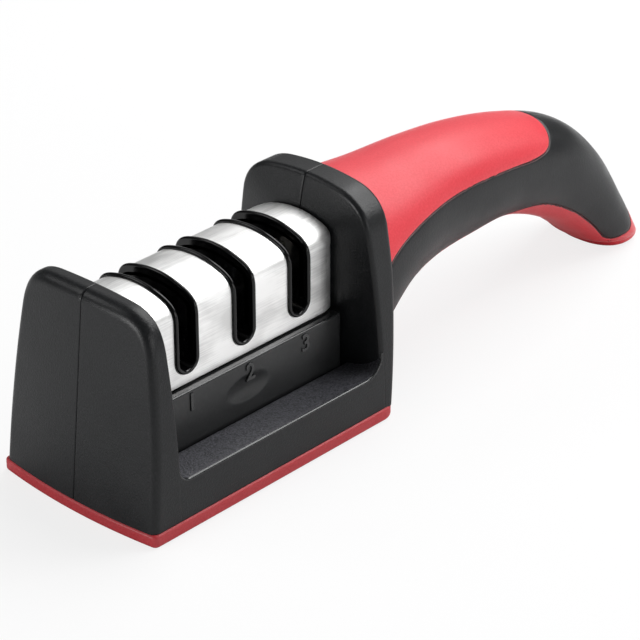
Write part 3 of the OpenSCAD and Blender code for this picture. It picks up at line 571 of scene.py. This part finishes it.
def underGripPatches():
    # Both sides of the under grip to the heel, on to the foot's line, rings round the foot down to its
    # rounded edge, and rings that close the sole
    lines, proud = [(bothSides(underLine), gripEdge), (bothSides(footLine), gripEdge)], handle["proud"]
    rows = rowsTo(heel, span(handle["underGripStart"], heel, 90), underCurve[::8, 0])
    edge = underAngle(rows)
    angle = acrossRow(rows, edge, -180 - edge, gripEdge, gripEdge, 50)
    main = skinPatch(rows[:, None], angle, lines, proud, inHandle)
    angle = acrossRow(endShares, endUnder, -180 - endUnder, gripEdge, gripEdge, 50)
    end = skinPatch(endShares[:, None], angle, lines, proud, inHeel)
    under, footAngle = angle[-1], handle["footAngle"]
    ring = np.concatenate([under[:-1], span(-180 - footAngle, footAngle - 360, 90)])
    start = np.where(ring < -180 - footAngle, footShare(ring + 360), handle["footLine"])
    start[:len(under)] = handle["footLine"]
    near = (1 - np.cos(np.radians(span(0, 90, 7)))) * 0.04
    rows = np.concatenate([near, span(near[-1], 1, 30)[1:]])[:, None]
    share = start + (1 - start) * rows
    foot = skinPatch(share, ring + 0 * share, lines, proud, inFoot)
    r = handle["footRadius"]
    sole = [handleSkin(1, ring, r * (1 - math.cos(a)) - proud) * [1, 1, 0] + [0, 0, r * (1 - math.sin(a))]
            for a in np.radians(span(0, 90, 8))]
    middle = sole[-1].mean(0)
    sole += [middle + (sole[-1] - middle) * k for k in (0.6, 0.3, 0)]  # closes the sole
    return [main, end, foot, patch(np.stack(sole), inFoot)]


# The dark red rubber, last in each list of materials, is painted shade along the grips' edges
halfPatches, halfMaterials = headPatches + bandPatches(), [absBody, absLedge, absEdge, grooveShadeRubber]
leftHalf = makePiece("housingLeft", halfPatches, head["wall"])
rightHalf = makePiece("housingRight", halfPatches, head["wall"], mirror=True)
topGrip = makePiece("topGrip", topGripPatches(), head["wall"])
underGrip = makePiece("underGripAndFoot", underGripPatches(), head["wall"])
finishPiece(leftHalf, halfMaterials, "housing", "black_abs", "housing_left")
finishPiece(rightHalf, halfMaterials, "housing", "black_abs", "housing_right")
finishPiece(topGrip, [rubberTop, grooveShadeRubber], "housing", "coral_rubber", "top_grip")
finishPiece(underGrip, [rubberUnder, grooveShadeRubber], "housing", "red_rubber", "under_grip", "tail_foot")
print("housing and grips made")

# The base pad: the plan of the base carried round a section with rounded edges
pad = {"halfWidth": 24.5, "back": 78.5, "bow": 1.8, "frontCorner": 1.5, "backCorner": 4.5, "thick": 3.2,
       "lowEdge": 0.9, "topEdge": 0.6, "closeInset": 1.3}


def padRing(inset, z):
    # Two corners behind and two beside a bowed front, all with centres that stay put as the inset grows
    r, back, hw = pad["frontCorner"], pad["backCorner"], pad["halfWidth"]
    big = bowRadius(hw, pad["bow"])
    bigX = big - pad["bow"]
    cornerX = bigX - math.sqrt((big - r) ** 2 - (hw - r) ** 2)
    turn = math.degrees(math.atan2(hw - r, cornerX - bigX))
    arcs = [(pad["back"] - back, hw - back, back, span(0, 90, 10)), (cornerX, hw - r, r, span(90, turn, 8)),
            (bigX, 0, big, span(turn, 360 - turn, 40)[1:-1]), (cornerX, r - hw, r, span(360 - turn, 270, 8)),
            (pad["back"] - back, back - hw, back, span(270, 360, 10))]
    ring = []
    for x, y, radius, degrees in arcs:
        a, reach = np.radians(degrees), radius - inset
        ring.append(np.stack([x + reach * np.cos(a), y + reach * np.sin(a), z + 0 * a], -1))
    return np.concatenate(ring)


def padPatches():
    # Rings from the sole up over a quarter circle, the side and a second quarter circle, closed at both ends
    low, top, thick, close = pad["lowEdge"], pad["topEdge"], pad["thick"], pad["closeInset"]
    turn = np.radians(span(0, 90, 7))
    bottom = [padRing(low * (1 - math.sin(a)), low * (1 - math.cos(a))) for a in turn]
    side = [padRing(0, z) for z in span(low, thick - top, 5)[1:-1]]
    upper = [padRing(top * (1 - math.cos(a)), thick - top * (1 - math.sin(a))) for a in turn]
    rows = [padRing(close, 0)] + bottom + side + upper + [padRing(close, thick)]
    ends = [np.tile(ring.mean(0), (len(ring), 1)) for ring in (rows[0], rows[-1])]
    return [patch(np.stack([ends[0]] + rows + [ends[1]]), np.array([40, 0, thick / 2]), wrap=True)]


basePad = makePiece("basePad", padPatches(), sharp=60)
finishPiece(basePad, [rubberPad], "housing", "red_rubber", "base_pad")

# The cartridge frame: a box with a rounded top rim, an open middle and a finger dent in each side
cartridge = {"front": 9.3, "back": 70.4, "half": 13.8, "low": 10.1, "top": 26.3, "corner": 0.8,
             "rimEdge": 0.5, "wall": 2, "rim": 3.6, "openHalf": 9.05, "openCorner": 0.5, "coverBack": 69.3,
             "dentX": 39.6, "dentZ": 19.6, "dentHalf": 6.8, "dentHigh": 3.3, "dentDeep": 0.8}


def boxRing(x1, x2, hw, corner, z):
    # A rectangle with round corners, seen from above, with many points along its two long sides
    ring = []
    for x, y, start in ((x2 - corner, -hw + corner, -90), (x2 - corner, hw - corner, 0),
                        (x1 + corner, hw - corner, 90), (x1 + corner, -hw + corner, 180)):
        arc = np.radians(span(0, 90, 6)) + math.radians(start)
        ring.append(np.stack([x + corner * np.cos(arc), y + corner * np.sin(arc)], -1))
    long = span(0, 1, 131)[1:-1, None]
    across = span(0, 1, 9)[1:-1, None]
    near = ring[3][-1] + (ring[0][0] - ring[3][-1]) * long
    right = ring[0][-1] + (ring[1][0] - ring[0][-1]) * across
    far = ring[1][-1] + (ring[2][0] - ring[1][-1]) * long
    left = ring[2][-1] + (ring[3][0] - ring[2][-1]) * across
    loop = np.concatenate([near, ring[0], right, ring[1], far, ring[2], left, ring[3]])
    return np.concatenate([loop, np.full((len(loop), 1), float(z))], -1)


def framePatches():
    # Rings from the foot of the box up its sides, over a quarter-round rim, and in and down to the foot
    # again. The dent is a bowl whose depth falls with the square of the distance from its middle
    c = cartridge
    x1, x2, hw, edge, sides, turns = c["front"], c["back"], c["half"], c["rimEdge"], 44, 7
    rows = [boxRing(x1, x2, hw, c["corner"], z) for z in span(c["low"], c["top"] - edge, sides)]
    for a in np.radians(span(0, 90, turns + 1))[1:]:
        d, z = edge * (1 - math.cos(a)), c["top"] - edge * (1 - math.sin(a))
        rows.append(boxRing(x1 + d, x2 - d, hw - d, c["corner"], z))
    inner = (x1 + c["rim"], c["coverBack"] - c["rim"], c["openHalf"], c["openCorner"])
    wide = (x1 + c["wall"], x2 - c["wall"], hw - c["wall"], c["openCorner"])
    rows += [boxRing(*inner, z) for z in (c["top"], c["top"] - c["wall"])]
    rows += [boxRing(*wide, z) for z in (c["top"] - c["wall"], c["low"])]
    rows.append(rows[0])
    grid = np.stack(rows)
    outer = grid[:sides]
    q = np.hypot((outer[..., 0] - c["dentX"]) / c["dentHalf"], (outer[..., 2] - c["dentZ"]) / c["dentHigh"])
    dent = c["dentDeep"] * np.clip(1 - q**2, 0, 1) ** 1.1 * (np.abs(outer[..., 1]) > hw - 0.01)
    outer[..., 1] -= np.sign(outer[..., 1]) * dent
    inside, rimTop = np.array([40, 0, 20.0]), sides + turns
    return [patch(outer, inside, wrap=True), (*patch(grid[sides - 1:rimTop + 1], inside, wrap=True), 1),
            patch(grid[rimTop:], inside, wrap=True)]


cartridgeFrame = makePiece("cartridgeFrame", framePatches(), sharp=50)
finishPiece(cartridgeFrame, [absFrame, absEdge], "cartridge", "black_abs", "cartridge_frame")

# The steel arch and the guide block under it share one cross-section. The edges at its two ends give their
# length, their depth at the side and their depth on top
arch = {"half": 11.75, "foot": 26.9, "top": 48.8, "crown": 1.1, "shoulderWidth": 4.4, "shoulderHeight": 6.2,
        "full": 0.56, "front": 9.3, "back": 70.5, "sheet": 0.8, "frontEdge": (1.2, 1.2, 1.2),
        "backEdge": (4.8, 2, 0.6), "slots": (22.95, 40.65, 58.35), "slotHalf": 2.45, "slotFoot": 30.4,
        "slotGap": 0.1, "lip": 1.1, "proud": 0.7, "lipRise": 0.55, "lipRoot": 2, "lipStep": 0.4,
        "lipTuck": 0.6, "lipWall": 0.5, "wallHalf": 10.95, "wallDrop": 1.2, "windowHalf": 4.8,
        "windowTop": 44.8}
slotPlaces = np.array(arch["slots"])


def archLine():
    # Half the arch from its foot on the far side to its middle: a straight side, a Bezier shoulder and a
    # crown, then mirrored, with the distance along it and its normals
    a, full = arch, arch["full"]
    z1 = a["top"] - a["shoulderHeight"]
    side = np.stack([np.full(60, float(a["half"])), span(a["foot"], z1, 60)], -1)
    start, end = side[-1], np.array([a["half"] - a["shoulderWidth"], a["top"] - a["crown"]])
    b1 = start + np.array([0, 1]) * full * a["shoulderHeight"]
    b2 = end + np.array([1, -2 * a["crown"] / end[0]]) * full * a["shoulderWidth"]
    y = span(end[0], 0, 60)[1:]
    crown = np.stack([y, a["top"] - a["crown"] * (y / end[0]) ** 2], -1)
    line = np.concatenate([side, bezier(start, b1, b2, end, 119), crown])
    whole = np.concatenate([line * [-1, 1], line[-2::-1]])
    tangent = np.gradient(whole, axis=0)
    tangent /= np.linalg.norm(tangent, axis=1)[:, None]
    place = np.concatenate([[0], np.cumsum(np.linalg.norm(np.diff(whole, axis=0), axis=1))])
    return place, whole, np.stack([-tangent[:, 1], tangent[:, 0]], -1)


archPlace, archPoints, archNormals = archLine()
archLength = archPlace[-1]


def onArch(x, place, out=0):  # a point of the arch at a distance along its line, moved out along its normal
    y, z, ny, nz = (np.interp(place, archPlace, v) for v in (*archPoints.T, *archNormals.T))
    return np.stack(np.broadcast_arrays(x, y + ny * out, z + nz * out), -1)


def coverPatches(half):
    # The arch with three slots cut out of it, whose ends are half circles, and an edge at each end that
    # rounds over its length and closes to the middle plane
    x1, x2, edge1, edge2 = arch["front"], arch["back"], arch["frontEdge"], arch["backEdge"]
    centre, lowRows = arch["slotFoot"] + arch["slotHalf"] - arch["foot"], 8
    slots = [x + half * -np.cos(np.radians(span(0, 180, 25))) for x in slotPlaces]
    edges = [x1 + edge1[0]] + [v for s in slots for v in (s[0], s[-1])] + [x2 - edge2[0]]
    between = [span(*pair, 8)[1:-1] for pair in zip(edges[::2], edges[1::2])]
    columns = np.sort(np.concatenate([edges[:1], edges[-1:]] + between + slots))
    away = np.abs(columns[:, None] - slotPlaces).min(1)
    drop = np.sqrt(np.maximum(half**2 - away**2, 0))
    low = span(0, 1, lowRows + 1)[:, None] * (centre - drop)[None]
    middle = span(0, 1, 90)[1:-1, None] * (archLength - 2 * centre) + centre + 0 * columns
    place = np.concatenate([low, middle, archLength - low[::-1]])
    grid = onArch(columns[None], place)
    gap = (away[:-1] + away[1:]) / 2 < half - 1e-6
    keep = np.ones((len(place) - 1, len(columns) - 1), bool)
    keep[lowRows:-lowRows, gap] = False
    inside, turn = np.array([38, 0, 35.0]), np.radians(span(0, 90, 9))[:, None]
    patches = [patch(grid, inside, keep=keep)]
    for sign, x, (length, atSide, onTop) in ((-1, x1, edge1), (1, x2, edge2)):
        line = place[:, 0] if sign < 0 else place[:, -1]
        depth = atSide + (onTop - atSide) * np.interp(line, archPlace, archNormals[:, 1])
        along, sink = sign * length * (np.sin(turn) - 1), depth * (1 - np.cos(turn))
        strip = onArch(x + along, line[None] + 0 * turn, -sink)
        flat = [strip[-1] * [1, k, 1] for k in (0.7, 0.4, 0)]  # closes the end
        patches.append(patch(np.concatenate([strip, np.stack(flat)]), inside))
    return patches


def lipPatches(x):
    # A rounded lip carried round the slot's outline, on the arch, from the slot's wall over to the sheet
    r, lip, proud, rise = arch["slotHalf"], arch["lip"], arch["proud"], arch["lipRise"]
    centre = arch["slotFoot"] + r - arch["foot"]
    turn, roll = np.radians(span(180, 360, 25)), np.radians(span(0, 180, 13))
    straight = span(centre, archLength - centre, 100)[1:-1]
    level, bend = np.ones(len(straight)), np.ones(len(turn))
    nx = np.concatenate([np.cos(turn), level, np.cos(turn - math.pi), -level])
    na = np.concatenate([np.sin(turn), 0 * level, np.sin(turn - math.pi), 0 * level])
    base = np.concatenate([bend * centre, straight, bend * (archLength - centre), straight[::-1]])
    section = [(0, -arch["lipRoot"]), (0, -arch["lipStep"])]
    section += [(lip / 2 - lip / 2 * math.cos(a), proud - rise + rise * math.sin(a)) for a in roll]
    section.append((lip, -arch["lipTuck"]))
    rows = [onArch(x + (r + w) * nx, base + (r + w) * na, h) for w, h in section]
    return patch(np.stack(rows), np.array([0, 0, 0.0]), wrap=True)


def channelPatches(x):
    # The slot's walls: a U across the sharpener whose arms end under the arch, with a window for the
    # abrasives
    r, w, end = arch["slotHalf"], arch["windowHalf"], arch["wallHalf"]
    y = np.concatenate([span(-end, -w, 24), span(-w, w, 11)[1:-1], span(w, end, 24)])
    half = len(archPlace) // 2
    top = np.interp(np.abs(y), archPoints[half:, 0], archPoints[half:, 1]) - arch["wallDrop"]
    z0 = arch["slotFoot"] + r
    turn = np.radians(span(180, 360, 17))[1:-1]
    down = [(x - r, z0 + (top - z0) * share) for share in span(1, 0, 12)]
    under = [(x + r * math.cos(a), z0 + r * math.sin(a) + 0 * y) for a in turn]
    up = [(x + r, z0 + (top - z0) * share) for share in span(0, 1, 12)]
    grid = np.stack([np.stack([np.full(len(y), wallX), y, z], -1) for wallX, z in down + under + up])
    middle = (grid[:-1, :-1] + grid[1:, 1:]) / 2
    keep = ~((np.abs(middle[..., 1]) < w) & (middle[..., 2] < arch["windowTop"]))
    return patch(grid, np.array([x, 0, arch["top"]]), True, keep=keep)


coverHalf = arch["slotHalf"] + arch["lip"] + arch["slotGap"]
steelCover = makePiece("steelCover", coverPatches(coverHalf), arch["sheet"])
finishPiece(steelCover, [coverSteel], "cartridge", "cover_steel", "steel_cover")
guidePatches = [lipPatches(x) for x in slotPlaces] + [channelPatches(x) for x in slotPlaces]
guideBlock = makePiece("guideBlock", guidePatches, arch["lipWall"])
finishPiece(guideBlock, [absGloss], "cartridge", "gloss_black_abs", "guide_block")
print("pad and cartridge made")

# The slot numbers stand a little proud of the frame's side, under their slots
numerals = {"size": 6, "proud": 0.24, "bevel": 0.06, "bolder": 0.06, "z": 21.3, "xs": (22.1, 40.4, 58.3)}


def numeralPiece():
    # Plain figures with a bevelled edge, laid against the frame's near side
    shapes = []
    for number, x in enumerate(numerals["xs"], 1):
        text = bpy.data.curves.new("slotNumber", "FONT")
        text.body, text.align_x, text.size = str(number), "CENTER", numerals["size"]
        text.extrude, text.bevel_depth, text.offset = numerals["proud"], numerals["bevel"], numerals["bolder"]
        holder = bpy.data.objects.new("slotNumber", text)
        scene.collection.objects.link(holder)
        bpy.context.view_layer.update()
        mesh = bpy.data.meshes.new_from_object(holder.evaluated_get(bpy.context.evaluated_depsgraph_get()))
        bpy.data.objects.remove(holder)
        co = np.empty(len(mesh.vertices) * 3)
        mesh.vertices.foreach_get("co", co)
        co = co.reshape(-1, 3)
        place = np.stack([x + co[:, 0], -cartridge["half"] - co[:, 2], numerals["z"] + co[:, 1]], -1)
        mesh.vertices.foreach_set("co", toMetres(place).ravel())
        shapes.append(mesh)
    joined = bmesh.new()
    for mesh in shapes:
        joined.from_mesh(mesh)
    bmesh.ops.remove_doubles(joined, verts=joined.verts, dist=1e-6)
    bmesh.ops.recalc_face_normals(joined, faces=joined.faces)
    mesh = bpy.data.meshes.new("slotNumbers")
    joined.to_mesh(mesh)
    joined.free()
    piece = bpy.data.objects.new("slotNumbers", mesh)
    scene.collection.objects.link(piece)
    return piece


finishPiece(numeralPiece(), [absEdge], "cartridge", "black_abs")

# CAD nodes whose shape is right keep it and get their material
finishes = {"floor_plate": absInner, "cartridge_floor": absInner, "carbide_holder": absInner,
            "diamond_holder": absInner, "ceramic_holder": absInner, "housing_screws": screwSteel,
            "base_screws": screwSteel, "cartridge_screws": screwSteel, "carbide_screws": screwSteel,
            "carbide_blade_front": carbide, "carbide_blade_rear": carbide, "diamond_rod_front": diamond,
            "diamond_rod_rear": diamond, "ceramic_rod_front": ceramic, "ceramic_rod_rear": ceramic}
for name, material in finishes.items():
    nodes[name].data.materials.clear()
    nodes[name].data.materials.append(material)
print("inner parts painted")

# The floor and the backdrop. For the camera the floor is mostly plain white, so that it stays pale without
# more light, and the rest of it takes the shadow. Far away it is all white and meets the backdrop without a
# line
stage = {"floorSize": 6, "floorColour": (0.75, 0.75, 0.753, 1), "floorWhite": 0.8, "whiteFrom": 0.5,
         "whiteTo": 1.6, "world": 0.1}
scene.view_settings.view_transform = "Standard"
floorPaint, tree, shader = newMaterial("matt white floor", {"Base Color": stage["floorColour"],
                                                             "Roughness": 0.8, "Specular IOR Level": 0.1})
seen = addNode(tree, "LightPath")
away = addNode(tree, "VectorMath", {}, {0: addNode(tree, "TexCoord").outputs["Object"]}, operation="LENGTH")
white = rampOf(tree, away.outputs["Value"], stage["whiteFrom"], stage["whiteTo"], stage["floorWhite"], 1)
share = addNode(tree, "Math", {}, {0: seen.outputs["Is Camera Ray"], 1: white}, operation="MULTIPLY")
glow = addNode(tree, "Emission", {"Color": (1, 1, 1, 1), "Strength": 1})
mixed = addNode(tree, "MixShader", {}, {0: share.outputs[0], 1: shader.outputs[0], 2: glow.outputs[0]})
tree.links.new(mixed.outputs[0], next(n for n in tree.nodes if n.type == "OUTPUT_MATERIAL").inputs["Surface"])
s = stage["floorSize"]
mesh = bpy.data.meshes.new("floor")
mesh.from_pydata([(-s, -s, 0), (s, -s, 0), (s, s, 0), (-s, s, 0)], [], [[0, 1, 2, 3]])
mesh.materials.append(floorPaint)
floor = bpy.data.objects.new("floor", mesh)
scene.collection.objects.link(floor)

# The world is plain white for the camera, and lights the object only weakly
world = bpy.data.worlds.new("studio")
scene.world = world
world.use_nodes = True
tree = world.node_tree
tree.nodes.clear()
seen = addNode(tree, "LightPath")
shown = addNode(tree, "Math", {}, {0: seen.outputs["Is Camera Ray"], 1: seen.outputs["Is Transmission Ray"]},
                operation="MAXIMUM")
strength = rampOf(tree, shown.outputs[0], 0, 1, stage["world"], 1)
sky = addNode(tree, "Background", {"Color": (1, 1, 1, 1)}, {"Strength": strength})
addNode(tree, "OutputWorld", {}, {"Surface": sky.outputs[0]})

# Soft boxes: place, the point each looks at, width and height in metres, and watts
lamps = {"softboxAbove": ((0.5, 0.0, 0.85), (0, 0, 0.03), (0.8, 0.8), 11),
         "softboxBehind": ((0.6, 0.7, 0.6), (0, 0, 0.03), (0.8, 0.6), 1),
         "softboxRight": ((0.68, -0.48, 0.6), (0, 0, 0.03), (0.45, 0.45), 4),
         "softboxLeft": ((-0.55, 0.68, 0.68), (0, 0, 0.03), (0.4, 0.4), 1.5),
         "softboxFront": ((-0.85, 0.2, 0.14), (-0.09, 0, 0.03), (0.4, 0.26), 3.4),
         "softboxSide": ((0.0, -0.9, 0.25), (0, 0, 0.03), (0.8, 0.35), 2.4)}
for name, (place, target, size, watts) in lamps.items():
    data = bpy.data.lights.new(name, "AREA")
    data.shape, data.energy = "RECTANGLE", watts
    data.size, data.size_y = size
    lamp = bpy.data.objects.new(name, data)
    lamp.location = place
    lamp.rotation_euler = (Vector(target) - Vector(place)).to_track_quat("-Z", "Y").to_euler()
    scene.collection.objects.link(lamp)
print("stage and lights set")
